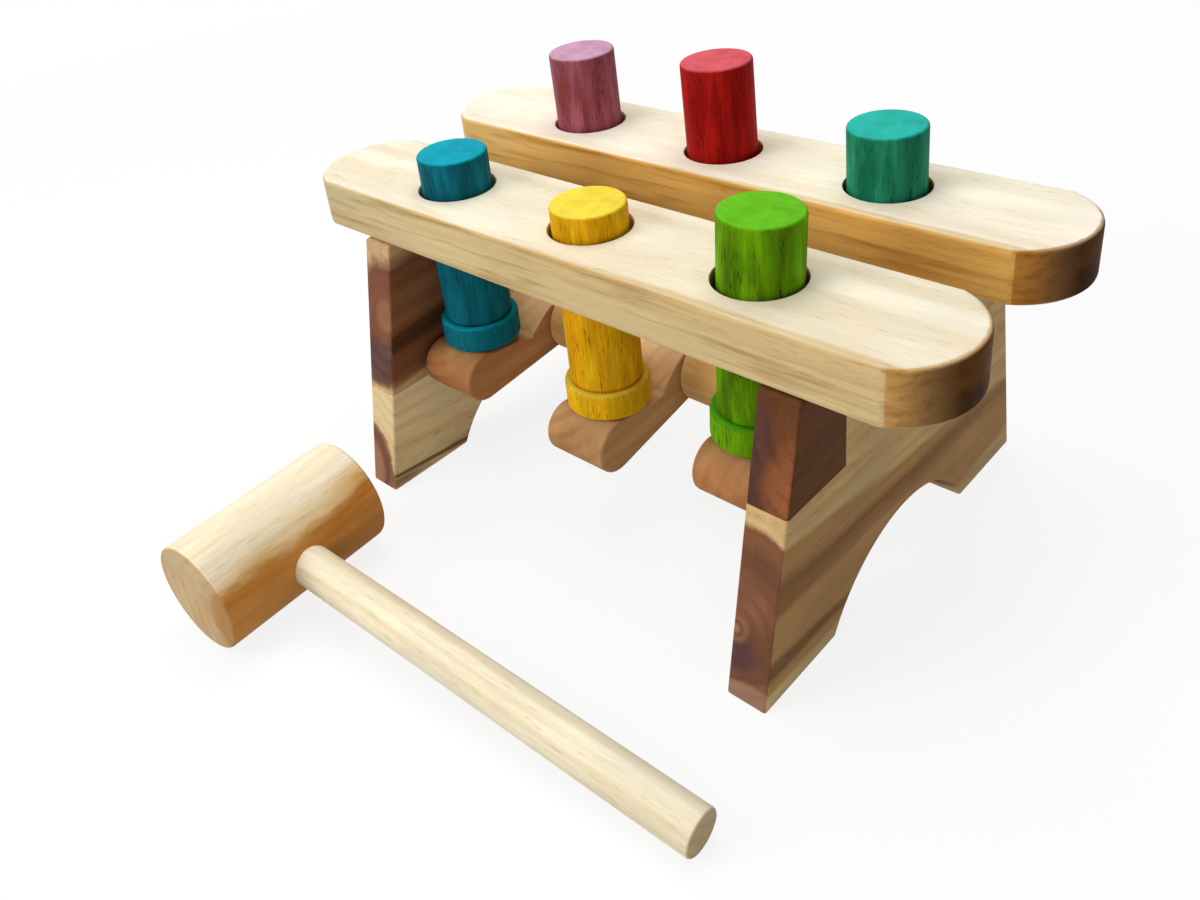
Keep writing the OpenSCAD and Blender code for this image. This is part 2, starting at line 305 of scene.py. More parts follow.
low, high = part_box("left_end_board")
bench_y = (low.y + high.y) / 2
bench_foot = Vector((0, bench_y, 0))
board_height = high.z
board_splay = (high.y - low.y - BOARD_TOP_DEPTH) / 2 / board_height
axle_low, axle_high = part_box("axle")
pivot = (axle_low + axle_high) / 2
socket_radius = (axle_high.z - axle_low.z) / 2 + GLUE_LINE
dowel_sink = board_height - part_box("rail_dowels")[0].z + GLUE_LINE
rail_rows = [sum(corner.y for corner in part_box(place + "_rail")) / 2 for place in ("front", "rear")]
dowel_rows = [row + hand * DOWEL_SPREAD / 2 for row in rail_rows for hand in (-1, 1)]
arch_radius = (ARCH_WIDTH ** 2 / 4 + ARCH_HEIGHT ** 2) / (2 * ARCH_HEIGHT)
arch_angle = 2 * math.asin(ARCH_WIDTH / 2 / arch_radius)
left_heart_at = bench_foot + Vector((-97.0, -75.0, 6.0)) * MM
left_heart_slant = math.radians(5)
left_hearts = [
    dict(side="#A87C50", end="#AD7956", middle=(0, 0), reach=(20, 20), edge=0.06),
    dict(side="#8A5C44", end="#8A5E50", middle=(-3, 1), reach=(14.5, 15.5), edge=0.05),
    dict(side="#A27858", end="#B48664", middle=(-2, 0), reach=(12, 13), edge=0.1),
    dict(side="#9A7442", end="#AD7956", middle=(-21, -1), reach=(4, 0.8), edge=0.5, ragged=0.6),
]
right_heart_at = bench_foot + Vector((77.5, -70.0, 29.5)) * MM
right_heart_slant = math.radians(3.8)
right_hearts = [
    dict(side="#C4965E", end="#8C5E40", middle=(0, 0), reach=(26.8, 26.8), edge=0.05, ragged=0.18,
         taper=0.0025),
    dict(side="#C89A64", end="#7C523C", middle=(0, -2), reach=(22, 22), edge=0.1, ragged=0.3,
         taper=0.0025),
    dict(side="#946A3E", end="#7C523C", middle=(-12, 8), reach=(9, 6), edge=0.5, ragged=0.7,
         taper=0.005),
    dict(side="#B08250", end="#8A5E44", middle=(-2, 4), reach=(9, 8), edge=0.5, ragged=0.8),
    dict(side="#8E663C", end="#7C523C", middle=(-13, -16), reach=(4, 3), edge=0.6, ragged=0.8,
         taper=0.014),
    dict(side="#F0D49C", end="#A47C64", middle=(-8, -31), reach=(16, 8), edge=0.15, ragged=0.4),
    dict(side="#8A6248", end="#624646", middle=(-1.9, -13.3), reach=(5, 6.5), edge=0.6, ragged=1.0),
    dict(side="#A87A58", end="#966A4C", middle=(0, -6.5), reach=(4.2, 4.2), edge=0.25, ragged=0.4),
    dict(side="#8C6248", end="#80563F", middle=(0, -6.5), reach=(3.0, 3.0), edge=0.3, ragged=0.4),
    dict(side="#A87A58", end="#AC805C", middle=(0, -6.5), reach=(1.4, 1.4), edge=0.45, ragged=0.3),
]
board_woods = {
    "left": solid_wood("rubberwood_left_board_planed_oiled", left_heart_at,
                       (0, left_heart_slant, QUARTER), "#FFEAB6", "#FCE2AC", "#C89C64", "#B48C5C",
                       pith=(-2, 0), end="#EEEBE9", end_share=(1.0, 1.0), hearts=left_hearts),
    "right": solid_wood("rubberwood_right_board_planed_oiled", right_heart_at,
                        (0, right_heart_slant, QUARTER), "#EACB90", "#D6B078", "#C49660", "#B08858",
                        pith=(0, -6.5), cloud_share=0.2, end_share=(0.0, 0.0), hearts=right_hearts),
}
for side in ("left", "right"):
    low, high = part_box(side + "_end_board")
    block_low, block_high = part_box(side + "_corner_block")
    seat, back = block_low.z, block_high.y
    bm = bmesh.new()
    foot = bm.verts.new((low.x, bench_y + ARCH_WIDTH / 2, 0))
    arch = swing(bm, foot, (low.x, bench_y, ARCH_HEIGHT - arch_radius), arch_angle, ARCH_STEPS)
    corners = [(low.y, 0), (low.y + board_splay * seat, seat), (back, seat), (back, board_height),
               (high.y - board_splay * board_height, board_height), (high.y, 0)]
    saw_out(bm, arch + [bm.verts.new((low.x, y, z)) for y, z in corners], high.x - low.x)
    round_edges(bm, EDGE_ROUND, lambda spot: spot.z > seat - NEAR and spot.y < back + NEAR)
    drill_top(bm, (low.x + high.x) / 2, board_height, [row for row in dowel_rows if row > back])
    inner, tip = (high.x, axle_low.x) if side == "left" else (low.x, axle_high.x)
    mouth = Vector((inner, pivot.y, pivot.z))
    way = math.copysign(1, inner) * ACROSS
    socket = blind_bore(bm, mouth, way, socket_radius, abs(tip - inner) + GLUE_LINE)
    open_flat(bm, mouth, way, [socket])
    hand_over(bm, side + "_board", board_woods[side], "bench", side + "_end_board")

# Corner blocks: dark reddish heartwood staves glued into the boards' upper front corners and
# planed flush, so that only the colour and a fine glue line tell them apart.
left_block_heart_at = bench_foot + Vector((-79.0, -62.0, 66.0)) * MM
left_block_slant = math.radians(-5)
left_block_hearts = [
    dict(side="#8C5A3C", end="#84543E", middle=(0, 0), reach=(23, 23), edge=0.12, ragged=0.4),
    dict(side="#A87C50", end="#92614A", middle=(-4, 4), reach=(5, 6), edge=0.5, ragged=1.0),
    dict(side="#8A5638", end="#62463E", middle=(6, -15), reach=(12, 8), edge=0.4, ragged=0.6),
    dict(side="#5A3824", end="#6A4C44", middle=(-3, -7), reach=(3.5, 3.5), edge=0.5, ragged=0.8),
    dict(side="#8C5A3C", end="#9C6A4E", middle=(1.4, 3), reach=(5, 6), edge=0.5),
]
right_block_heart_at = bench_foot + Vector((90.0, -62.0, 74.0)) * MM
right_block_slant = math.radians(-4)
right_block_hearts = [
    dict(side="#603820", end="#5C3C34", middle=(12, -2), reach=(5, 18), edge=0.6, ragged=0.6),
    dict(side="#68401F", end="#985C3A", middle=(0, -3), reach=(8.5, 11), edge=0.45, ragged=0.9),
]
block_woods = {
    "left": solid_wood("heartwood_left_block_planed_oiled", left_block_heart_at,
                       (0, left_block_slant, QUARTER), "#DDB98A", "#C9A074", "#9A6850", "#8A6250",
                       pith=(1.4, 3), cloud_share=0.2, end_share=(0.0, 0.0), hearts=left_block_hearts),
    "right": solid_wood("heartwood_right_block_planed_oiled", right_block_heart_at,
                        (0, right_block_slant, QUARTER), "#744828", "#5E3A20", "#7C5444", "#7A5848",
                        pith=(-6, 14), cloud_share=0.2, end_share=(0.0, 0.0),
                        hearts=right_block_hearts),
}
for side in ("left", "right"):
    low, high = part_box(side + "_corner_block")
    foot_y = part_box(side + "_end_board")[0].y
    bm = bmesh.new()
    corners = [(foot_y + board_splay * low.z, low.z), (high.y, low.z), (high.y, high.z),
               (foot_y + board_splay * high.z, high.z)]
    saw_out(bm, [bm.verts.new((low.x, y, z)) for y, z in corners], high.x - low.x)
    round_edges(bm, EDGE_ROUND, lambda spot: spot.y > high.y - NEAR or spot.z < low.z + NEAR)
    drill_top(bm, (low.x + high.x) / 2, high.z, [row for row in dowel_rows if row < high.y])
    hand_over(bm, side + "_block", block_woods[side], "bench", side + "_corner_block")

# Axle: a turned beech dowel across the bench, glued into a blind socket in each end board.
# It hardly shows between the rockers and spacers, and keeps the shape that comes with the frame.
axle_wood = solid_wood("beech_axle_turned", pivot, (0, 0, 0), "#D8B684", "#C89E68", "#B08858", "#A07848",
                       ring_mm=2.5)
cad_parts["axle"].data.materials.clear()
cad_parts["axle"].data.materials.append(axle_wood)

# Spacers: two lengths of round rubberwood stock, drilled through and slipped on the axle to
# keep the rockers apart. Turned smooth and oiled.
AXLE_HOLE = 4.08 * MM
SPACER_EDGE = 0.5 * MM
SPACER_STEPS = 64
SPACER_PITH = {"left": (16, 8), "right": (-18, 12)}


# Turns a profile the whole way round an axis.
def turn_on_lathe(bm, profile, steps, axis, centre):
    verts = [bm.verts.new(point) for point in profile]
    edges = [bm.edges.new(pair) for pair in zip(verts, verts[1:])]
    bmesh.ops.spin(bm, geom=verts + edges, cent=centre, axis=axis, angle=2 * math.pi, steps=steps,
                   use_merge=True, use_duplicate=False)
    bmesh.ops.remove_doubles(bm, verts=bm.verts, dist=WELD)


for side, pith in SPACER_PITH.items():
    low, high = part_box(side + "_spacer")
    middle = (low + high) / 2
    spacer_radius = (high.z - low.z) / 2
    bm = bmesh.new()
    section = [(low.x, AXLE_HOLE), (low.x, spacer_radius), (high.x, spacer_radius), (high.x, AXLE_HOLE),
               (low.x, AXLE_HOLE)]
    turn_on_lathe(bm, [(x, middle.y, middle.z + r) for x, r in section], SPACER_STEPS, ACROSS, middle)
    round_edges(bm, SPACER_EDGE)
    spacer_wood = solid_wood("rubberwood_" + side + "_spacer_turned_oiled", middle, (0, 0, 0), "#FFD08C",
                             "#F0B86C", "#B88850", "#A87844", pith=pith, ring_mm=4.0)
    hand_over(bm, side + "_spacer_round", spacer_wood, "bench", side + "_spacer")

# Rockers: three seesaw bars of orange-brown rubberwood on the axle, sawn to one outline and
# sanded. A full-round nose at each end carries a peg, and a notch behind it meets the hub's crown.
# The outline is given from the axle, towards the rear and upwards.
NOSE = Vector((45.0, 4.2)) * MM
NOSE_RADIUS = 9.0 * MM
NOTCH = Vector((20.5, 5.0)) * MM
KEEL = Vector((0.0, -8.4)) * MM
CROWN_RISE = 12.0 * MM
ROCKER_EDGE = 1.0 * MM
NOSE_STEPS = 28
CROWN_STEPS = 20
# The pale tone painted on the crown as light, and how far outside and inside the notch it fades in.
CROWN_PAINTED_LIGHT = "#F8D09A"
CROWN_LIGHT_FADE_MM = (4.0, -2.0)

# The tilt at rest, the light and the mid tone of the wood, and the place of its pith.
ROCKERS = {
    "left": (math.radians(9.5), "#C4905E", "#B27C4C", (14.5, 18.0)),
    "middle": (math.radians(15.3), "#D2A876", "#BE9262", (30.0, 18.0)),
    "right": (0.0, "#CE9A66", "#BC8654", (45.5, 18.0)),
}


# Where a straight side that leaves the given corner touches the round of the nose.
def touch(corner, hand):
    run = NOSE - corner
    angle = math.atan2(run.y, run.x) + hand * math.asin(NOSE_RADIUS / run.length)
    reach = math.sqrt(run.length_squared - NOSE_RADIUS ** 2)
    return corner + reach * Vector((math.cos(angle), math.sin(angle)))


# The hub's crown is painted paler on its upward faces near the axle: painted light for the lamp light
# that falls on it between the rails. The flanks keep the wood's tone.
def crown_painted_light(tree, grain, normal, tone):
    upward = add(tree, "SeparateXYZ", {0: normal}, out="Z")
    upper = add(tree, "MapRange", {"Value": upward, "From Min": 0.45, "From Max": 0.65}, **SOFT)
    station = add(tree, "SeparateXYZ", {0: grain})
    from_axle = add(tree, "Math", {0: station}, operation="ABSOLUTE")
    outer, inner = [NOTCH.x / MM + fade for fade in CROWN_LIGHT_FADE_MM]
    crown = add(tree, "MapRange", {"Value": from_axle, "From Min": outer, "From Max": inner,
                                   "To Max": upper})
    return add(tree, "Mix", {PART: crown, UNDER: tone, OVER: linear(CROWN_PAINTED_LIGHT)}, **COLOUR)


below, above = touch(KEEL, -1), touch(NOTCH, 1)
nose_turn = (math.atan2(*(above - NOSE).yx) - math.atan2(*(below - NOSE).yx)) % (2 * math.pi)
crown_height = CROWN_RISE - NOTCH.y
crown_radius = (NOTCH.x ** 2 + crown_height ** 2) / (2 * crown_height)
crown_turn = 2 * math.asin(NOTCH.x / crown_radius)
for side, (tilt, light, mid, pith) in ROCKERS.items():
    low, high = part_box(side + "_rocker")
    through = (high.x - low.x) * ACROSS
    bm = bmesh.new()
    keel = bm.verts.new((0, *KEEL))
    rear = swing(bm, bm.verts.new((0, *below)), (0, *NOSE), nose_turn, NOSE_STEPS)
    crown_hub = (0, 0, CROWN_RISE - crown_radius)
    crown = swing(bm, bm.verts.new((0, *NOTCH)), crown_hub, crown_turn, CROWN_STEPS)
    front_start = bm.verts.new((0, -above.x, above.y))
    front = swing(bm, front_start, (0, -NOSE.x, NOSE.y), nose_turn, NOSE_STEPS)
    saw_out(bm, [keel] + rear + crown + front, through.length)
    round_edges(bm, ROCKER_EDGE)
    near, far = bore(bm, Vector(), ACROSS, AXLE_HOLE, through.length)
    open_flat(bm, Vector(), ACROSS, [near])
    open_flat(bm, through, ACROSS, [far])
    onto_axle = Matrix.Translation((low.x, pivot.y, pivot.z)) @ Matrix.Rotation(tilt, 4, "X")
    bmesh.ops.transform(bm, matrix=onto_axle, verts=bm.verts)
    middle = Vector(((low.x + high.x) / 2, pivot.y, pivot.z))
    rocker_wood = solid_wood("rubberwood_" + side + "_rocker_sawn_oiled", middle, (tilt, 0, QUARTER),
                             light, mid, "#B8845C", "#A87850", pith=pith, ring_share=0.15,
                             cloud_share=0.16, pore_share=0.2, end="#E0BC98", figure=crown_painted_light)
    hand_over(bm, side + "_seesaw_bar", rocker_wood, side + "_seesaw", side + "_rocker")

# Pegs: six rounds of rubberwood, each turned with a flange left at the foot so that it can't be
# driven out upwards. Stained in bright colours that soak in by streaks, with painted light on the
# flange, painted shade in the corner above it and a painted highlight on the rims.
# Some lean in their wide holes, by the degrees towards X and Y that the head moves.
PEG_RADIUS = 12.1 * MM
FLANGE_HEIGHT = 9.6 * MM
PEG_EDGE = 1.0 * MM
PEG_STEPS = 72
# How the flange's painted light fades in and how strong it is, the place, reach and strength of the
# painted shade in the corner above the flange, and the slope, reach and strength of the painted
# highlight on the rims.
FLANGE_LIGHT_FADE_MM = 0.3
FLANGE_LIGHT_SHARE = 0.6
CORNER_SHADE_MIDDLE_MM = 0.4
CORNER_SHADE_REACH_MM = (1.1, 0.2)
CORNER_SHADE_SHARE = 0.8
RIM_HIGHLIGHT_UPWARD = 0.65
RIM_HIGHLIGHT_REACH = (0.35, 0.05)
RIM_HIGHLIGHT_SHARE = 0.45
LEAN = {"green": (1.8, 1.2), "purple": (-0.8, -0.8), "red": (-1.2, -0.9), "teal": (-0.6, -1.2)}

# The light, mid, latewood, pore and end-grain colours of each stain, and the place of the pith.
STAINS = {
    "blue": ("#117A8C", "#0A5562", "#5A8890", "#4A7880", "#0AA6BA", (14, 9)),
    "yellow": ("#F4C21A", "#DE9C0A", "#C89858", "#8E6E40", "#F0DE4E", (17, 5)),
    "green": ("#78BA0A", "#4E7004", "#7E9C58", "#54744C", "#62BE20", (20, 1)),
    "purple": ("#B46678", "#904444", "#8C6C98", "#785870", "#CAA1BE", (23, -3)),
    "red": ("#C01E1B", "#96140F", "#98605C", "#704440", "#D66069", (26, -7)),
    "teal": ("#2E9C78", "#187052", "#6C9C88", "#4C7868", "#2AB8AD", (29, -11)),
}


# Painted light and shade on a peg's stain: the flange painted brighter, for the light thrown up by
# the white floor; painted shade in the corner above it; and a painted highlight in the top's pale tone
# on the rounded rims.
def peg_painted_light(light, late, top):
    def figure(tree, grain, normal, tone):
        height = add(tree, "SeparateXYZ", {0: grain})
        above = add(tree, "Math", {0: height, 1: FLANGE_HEIGHT / MM}, operation="SUBTRACT")
        below = add(tree, "MapRange", {"Value": above, "From Min": FLANGE_LIGHT_FADE_MM,
                                       "From Max": -FLANGE_LIGHT_FADE_MM, "To Max": FLANGE_LIGHT_SHARE})
        flange_lit = add(tree, "Mix", {PART: below, UNDER: tone, OVER: linear(light)}, **COLOUR)
        # Painted shade: a dark ring in the corner just above the flange.
        off = add(tree, "Math", {0: above, 1: CORNER_SHADE_MIDDLE_MM}, operation="SUBTRACT")
        near = add(tree, "Math", {0: off}, operation="ABSOLUTE")
        corner_shade = add(tree, "MapRange", {"Value": near, "From Min": CORNER_SHADE_REACH_MM[0],
                                      "From Max": CORNER_SHADE_REACH_MM[1], "To Max": CORNER_SHADE_SHARE})
        corner_shaded = add(tree, "Mix", {PART: corner_shade, UNDER: flange_lit, OVER: linear(late)}, **TINT)
        # Painted highlight: the rounded rims, tipped up towards the lamps, are painted in the top's pale
        # tone.
        upward = add(tree, "SeparateXYZ", {0: normal}, out="Z")
        shy = add(tree, "Math", {0: upward, 1: RIM_HIGHLIGHT_UPWARD}, operation="SUBTRACT")
        slope = add(tree, "Math", {0: shy}, operation="ABSOLUTE")
        rim = add(tree, "MapRange", {"Value": slope, "From Min": RIM_HIGHLIGHT_REACH[0],
                                     "From Max": RIM_HIGHLIGHT_REACH[1], "To Max": RIM_HIGHLIGHT_SHARE})
        return add(tree, "Mix", {PART: rim, UNDER: corner_shaded, OVER: linear(top)}, **COLOUR)
    return figure


rail_middle = sum(corner.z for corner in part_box("front_rail")) / 2
for stain, (light, mid, late, pore, top, pith) in STAINS.items():
    low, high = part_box(stain + "_peg")
    x, y = (low.x + high.x) / 2, (low.y + high.y) / 2
    flange_radius = (high.x - low.x) / 2
    shoulder = low.z + FLANGE_HEIGHT
    bm = bmesh.new()
    section = [(0, low.z), (flange_radius, low.z), (flange_radius, shoulder), (PEG_RADIUS, shoulder),
               (PEG_RADIUS, high.z), (0, high.z)]
    turn_on_lathe(bm, [(x + r, y, z) for r, z in section], PEG_STEPS, UP, (x, y, 0))
    round_edges(bm, PEG_EDGE, lambda spot: math.hypot(spot.x - x, spot.y - y) < PEG_RADIUS + NEAR
                and spot.z < shoulder + NEAR)
    lean_x, lean_y = LEAN.get(stain, (0, 0))
    bmesh.ops.rotate(bm, verts=bm.verts, cent=(x, y, rail_middle),
                     matrix=Euler((math.radians(-lean_y), math.radians(lean_x), 0)).to_matrix())
    stained = solid_wood("stained_rubberwood_" + stain, (x, y, low.z), (0, -QUARTER, 0), light, mid,
                         late, pore, pith=pith, ring_mm=3.5, ring_share=0.1, band_mm=(26.0, 5.0),
                         cloud_mm=(16.0, 5.0), cloud_share=0.25, pore_mm=(4.0, 0.5), pore_share=0.8,
                         fibre_share=0.2, end=top, end_share=(0.8, 0.8), end_blend="MIX",
                         end_range=(0.6, 0.95), roughness=0.52, gloss=0.03,
                         figure=peg_painted_light(light, late, top))
    hand_over(bm, stain + "_turned_peg", stained, stain + "_striker", stain + "_peg")

# Rails: two pale rubberwood planks with bowed ends and three through holes for the pegs.
# Planed, sawn and drilled, with the edges rounded over, and set on the boards with hidden dowels.
RAIL_BOW = 15.0 * MM
HOLE_RADIUS = 13.2 * MM
RAIL_EDGE = 1.5 * MM
BOW_STEPS = 24
HOLE_STEPS = 64
HOLE_FLARE = 0.3
RAIL_SLANT = math.radians(1.2)
FLANK_SHADE_CHANGE_MM = (-115.0, -45.0)
STREAK_MM = (50.0, 2.0)
STREAK_TONE = "#B08C58"
STREAK_SHARE = 0.55
BOW_CHANGE_MM = (-60.0, 90.0)

# The light and the mid tone of each rail's wood, the place of its pith, the painted shade on its sides
# at the left and onward from there, more orange on the rear rail for the front rail's shade on it, and
# the tone of its bowed right end.
RAILS = {
    "front": ("#F2EAD5", "#EBDFC3", (-14, -46), "#DDD0B4", "#ECDAB4", "#F4D6B0"),
    "rear": ("#F8F0DE", "#F2E7D0", (10, -60), "#EFD294", "#F6C878", "#D4BEA8"),
}


# Joins a row of vertices into a closed ring and gives its edges.
def close_ring(bm, verts):
    return [bm.edges.get(pair) or bm.edges.new(pair) for pair in zip(verts, verts[1:] + verts[:1])]


# A rail's long sides are painted darker than its pale top, as painted shade, by a tone that changes over
# its left third, and long brown streaks show where they cut the growth rings at a slant. The bowed right
# end turns orange-brown from its corners on.
def flank_shade_and_grain(left_side_shade, onward_side_shade, bow_tone):
    def figure(tree, grain, normal, tone):
        ways = add(tree, "VectorMath", {0: normal}, operation="ABSOLUTE")
        endward = add(tree, "SeparateXYZ", {0: ways}, out="X")
        sideward = endward.node.outputs["Y"]
        # Painted shade on the long sides, which face away from the overhead lamp.
        shaded_flank_part = add(tree, "MapRange", {"Value": sideward, "From Min": 0.25, "From Max": 0.8}, **SOFT)
        station = add(tree, "SeparateXYZ", {0: grain})
        onward = add(tree, "MapRange", {"Value": station, "From Min": FLANK_SHADE_CHANGE_MM[0],
                                        "From Max": FLANK_SHADE_CHANGE_MM[1]})
        shade = add(tree, "Mix", {PART: onward, UNDER: linear(left_side_shade), OVER: linear(onward_side_shade)},
                    **COLOUR)
        streak_at = add(tree, "VectorMath", {0: grain, 1: stretch(*STREAK_MM)}, operation="MULTIPLY")
        streak = add(tree, "TexNoise", {"Vector": streak_at, "Scale": 1.0, "Detail": 3.0})
        dark = add(tree, "MapRange", {"Value": streak, "From Min": 0.5, "From Max": 0.75,
                                      "To Max": STREAK_SHARE})
        streaked = add(tree, "Mix", {PART: dark, UNDER: shade, OVER: linear(STREAK_TONE)}, **TINT)
        shaded_sides = add(tree, "Mix", {PART: shaded_flank_part, UNDER: tone, OVER: streaked}, **TINT)
        right_end = add(tree, "MapRange", {"Value": station, "From Min": BOW_CHANGE_MM[0],
                                           "From Max": BOW_CHANGE_MM[1]})
        bow = add(tree, "MapRange", {"Value": endward, "From Min": 0.28, "From Max": 0.36,
                                     "To Max": right_end})
        return add(tree, "Mix", {PART: bow, UNDER: shaded_sides, OVER: linear(bow_tone)}, **TINT)
    return figure


rail_hearts = [
    dict(side="#DCC8A0", middle=(-22, 8), reach=(1.2, 1.6), edge=0.7, ragged=1.6),
    dict(side="#9E9682", middle=(-4, -6.5), reach=(4.2, 2.8), edge=0.9, ragged=1.4, taper=-0.008,
         wave_mm=(30, 4)),
]
peg_boxes = [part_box(stain + "_peg") for stain in ("blue", "yellow", "green")]
hole_places = [(low.x + high.x) / 2 for low, high in peg_boxes]
board_boxes = [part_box(side + "_end_board") for side in ("left", "right")]
board_places = [(low.x + high.x) / 2 for low, high in board_boxes]
dowel_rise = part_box("rail_dowels")[1].z - board_height + GLUE_LINE
turns = [QUARTER * step / EDGE_STEPS for step in range(EDGE_STEPS + 1)]
rounding = [(RAIL_EDGE * (1 - math.cos(turn)), RAIL_EDGE * (1 - math.sin(turn))) for turn in turns]
for place, (light, mid, pith, left_side_shade, onward_side_shade, bow_tone) in RAILS.items():
    low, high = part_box(place + "_rail")
    middle = (low + high) / 2
    width = high.y - low.y
    bow_radius = (width ** 2 / 4 + RAIL_BOW ** 2) / (2 * RAIL_BOW)
    levels = [(inset, low.z + rise) for inset, rise in reversed(rounding)]
    levels += [(inset, high.z - rise) for inset, rise in rounding]
    bm = bmesh.new()
    rings = []
    for inset, z in levels:
        outline = []
        bow_turn = 2 * math.asin((width / 2 - inset) / (bow_radius - inset))
        corner_way = Vector((math.cos(bow_turn / 2), -math.sin(bow_turn / 2), 0))
        for out in (-1, 1):
            hub = Vector((middle.x + out * (high.x - middle.x - bow_radius), middle.y, z))
            corner = bm.verts.new(hub + corner_way * out * (bow_radius - inset))
            outline += swing(bm, corner, hub, bow_turn, BOW_STEPS, UP)
        rings.append([close_ring(bm, outline)])
        for hole_x in hole_places:
            mouth = Vector((hole_x, middle.y, z))
            rings[-1].append(round_ring(bm, mouth, UP, HOLE_RADIUS + HOLE_FLARE * inset, HOLE_STEPS))
    for lower, upper in zip(rings, rings[1:]):
        for first, second in zip(lower, upper):
            bmesh.ops.bridge_loops(bm, edges=first + second)
    for board_x in board_places:
        for hand in (-1, 1):
            mouth = Vector((board_x, middle.y + hand * DOWEL_SPREAD / 2, low.z))
            rings[0].append(blind_bore(bm, mouth, UP, DOWEL_RADIUS + GLUE_LINE, dowel_rise))
    for ring in (rings[0], rings[-1]):
        bmesh.ops.triangle_fill(bm, edges=sum(ring, []), use_beauty=True, use_dissolve=False, normal=UP)
    rail_wood = solid_wood("rubberwood_" + place + "_rail_planed_oiled", middle, (0, 0, RAIL_SLANT),
                           light, mid, "#D8BC90", "#B08C60", pith=pith, ring_mm=6.0, pore_share=0.28,
                           end="#705230", end_share=(0.3, 1.0), end_range=(0.42, 0.98),
                           fibre_share=0.05, gloss=0.03, hearts=rail_hearts,
                           figure=flank_shade_and_grain(left_side_shade, onward_side_shade, bow_tone))
    hand_over(bm, place + "_plank", rail_wood, "bench", place + "_rail")

# Rail dowels: eight short beech dowels, glued half into the rails and half into the boards.
# They stay out of sight inside the joint, in the shape that comes with the frame.
low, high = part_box("rail_dowels")
dowel_wood = solid_wood("beech_dowel_turned", (low + high) / 2, (0, -QUARTER, 0), "#DCC79A", "#CBB183",
                        "#C8A878", "#B8955F", ring_mm=2.0)
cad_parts["rail_dowels"].data.materials.clear()
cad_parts["rail_dowels"].data.materials.append(dowel_wood)

# Mallet head: a thick round of rubberwood, turned and oiled, pale above with orange-brown
# heartwood on the side where it is drilled for the handle. The mallet lies on its head and the
# handle's end, so the handle dips a little.
HEAD_RADIUS = 19.2 * MM
HEAD_LENGTH = 63.5 * MM
HEAD_STEPS = 96
HANDLE_RADIUS = 6.9 * MM
HANDLE_REACH = 170.6 * MM
MALLET_EDGE = 0.9 * MM
MALLET_YAW = math.radians(3.6)
low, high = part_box("mallet_head")
head_middle = (low + high) / 2
handle_slant = math.atan2(HANDLE_RADIUS, HANDLE_REACH)
mallet_dip = math.asin(HEAD_RADIUS / math.hypot(HANDLE_REACH, HANDLE_RADIUS)) - handle_slant
lying = Matrix.Translation(head_middle) @ Euler((0, mallet_dip, MALLET_YAW)).to_matrix().to_4x4()
head_hearts = [
    dict(side="#E6BE7E", end="#E2C090", middle=(-24, -5), reach=(21, 21), edge=0.3, ragged=1.0,
         taper=-0.005, wave_mm=(36, 8)),
    dict(side="#C07C30", end="#D8B07C", middle=(-24, -6), reach=(17.2, 17.2), edge=0.16, ragged=1.0,
         taper=-0.005, wave_mm=(36, 8)),
    dict(side="#D4944C", end="#D8B07C", middle=(-24, -6), reach=(13.5, 13.5), edge=0.35, ragged=1.2,
         taper=-0.005, wave_mm=(30, 7)),
]
bm = bmesh.new()
section = [(0, -HEAD_LENGTH / 2), (HEAD_RADIUS, -HEAD_LENGTH / 2), (HEAD_RADIUS, HEAD_LENGTH / 2),
           (0, HEAD_LENGTH / 2)]
turn_on_lathe(bm, [(r, y, 0) for r, y in section], HEAD_STEPS, (0, 1, 0), (0, 0, 0))
round_edges(bm, MALLET_EDGE)
bmesh.ops.transform(bm, matrix=lying, verts=bm.verts)
head_wood = solid_wood("rubberwood_mallet_head_turned_oiled", head_middle, (0, 0, MALLET_YAW + QUARTER),
                       "#FBF1D8", "#F3E2BC", "#D8B484", "#C09868", pith=(-24, -6), pore_share=0.3,
                       end="#C8AC86", end_share=(0.8, 0.8), hearts=head_hearts)
hand_over(bm, "mallet_barrel", head_wood, "mallet", "mallet_head")

# Mallet handle: a long pale dowel glued into the head, its free end rounded with sandpaper.
# Turned rubberwood, left nearly white under thin oil.
HANDLE_TAIL = 11.0 * MM
HANDLE_STEPS = 48
bm = bmesh.new()
section = [(-HANDLE_TAIL, 0), (-HANDLE_TAIL, HANDLE_RADIUS), (HANDLE_REACH, HANDLE_RADIUS),
           (HANDLE_REACH, 0)]
turn_on_lathe(bm, [(x, 0, r) for x, r in section], HANDLE_STEPS, ACROSS, (0, 0, 0))
round_edges(bm, MALLET_EDGE)
bmesh.ops.transform(bm, matrix=lying, verts=bm.verts)
handle_wood = solid_wood("rubberwood_mallet_handle_turned_oiled", head_middle,
                         (0, mallet_dip, MALLET_YAW), "#F5EDD6", "#ECDFBC", "#DCC294", "#B08E60",
                         pith=(9, 12), ring_mm=4.0, pore_share=0.25, end="#D8C0A0",
                         end_share=(0.8, 0.8))
hand_over(bm, "mallet_shaft", handle_wood, "mallet", "mallet_handle")

# Studio: a white paper floor, a broad softbox overhead and another at the front left, a small card
# at the right, and the camera where the photograph was taken from. The floor shows white, keeps a
# soft shadow round the toy, and runs out into the white of the room.
FLOOR_HALF = 4.0
SHADOW_REACH = 0.25
WHITE_FROM = 0.9
FLOOR_GLOW = 0.85
ROOM_LIGHT = 0.1
CAMERA_PLACE = Vector((0.214660, -0.205253, 0.258022))
CAMERA_TURN = [math.radians(angle) for angle in (60.66922, 6.64314, 43.68206)]

